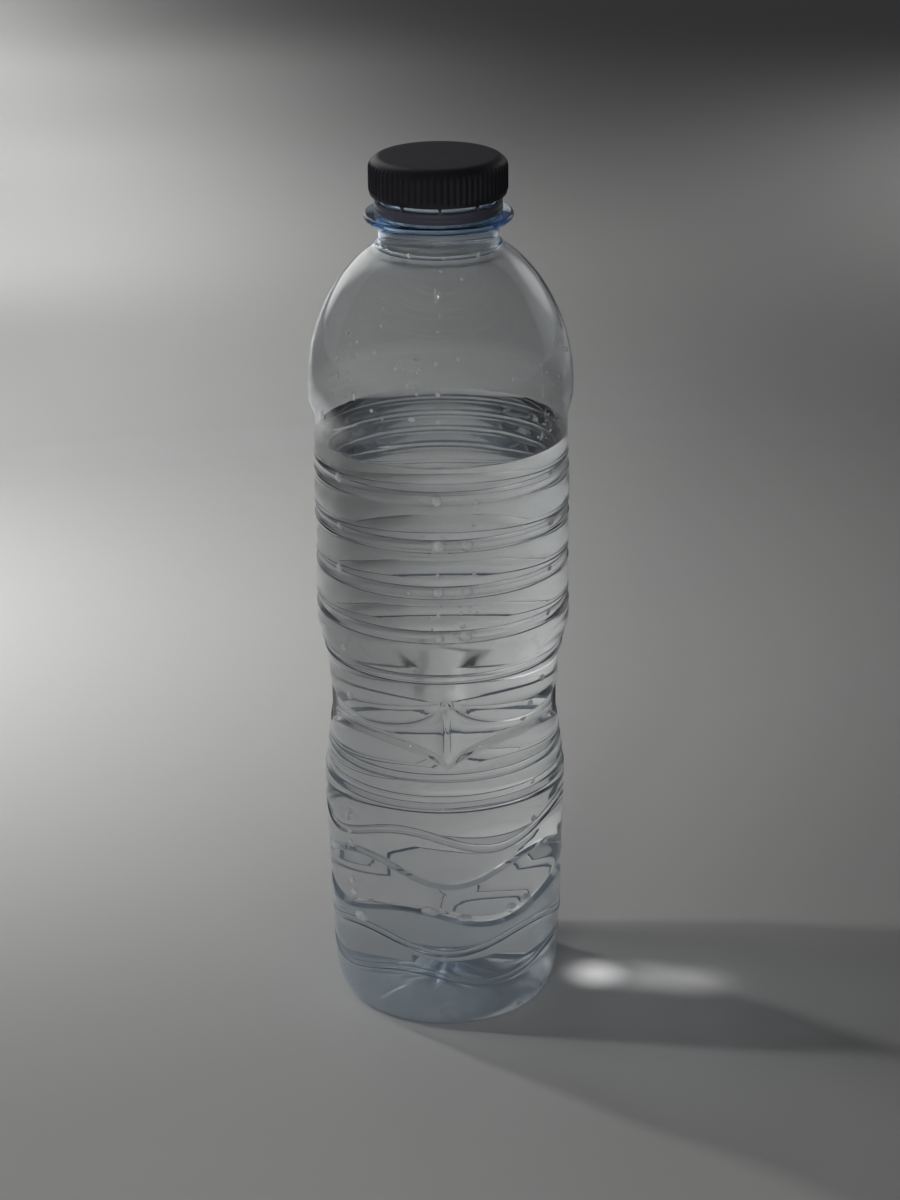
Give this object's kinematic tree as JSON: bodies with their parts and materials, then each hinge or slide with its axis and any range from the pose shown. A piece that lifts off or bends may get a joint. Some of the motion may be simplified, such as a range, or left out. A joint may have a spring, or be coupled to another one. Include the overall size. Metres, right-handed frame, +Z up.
{
  "type": "plastic water bottle",
  "caption": "Clear ribbed plastic drink bottle with a screw cap and loose tamper band, part full of water.",
  "frame": {"origin": "middle of the standing ring, on the surface the bottle stands on", "axes": "+Z up along the bottle's axis, from the base to the cap; -Y is the front, where one ridge of the waist stands"},
  "size_m": [0.0626, 0.0626, 0.213],
  "materials": {
    "clear_plastic": "clear blown plastic, glossy",
    "cap_plastic": "moulded, soft sheen",
    "water": "clear liquid"
  },
  "bodies": {
    "bottle": {"bottle": "clear_plastic", "tamper_band": "cap_plastic", "water": "water"},
    "cap": {"screw_cap": "cap_plastic"}
  },
  "joints": [
    {"name": "cap_lift", "type": "slide", "parent": "bottle", "child": "cap", "axis": [0, 0, 1], "range_m": [0, 0.03]}
  ]
}
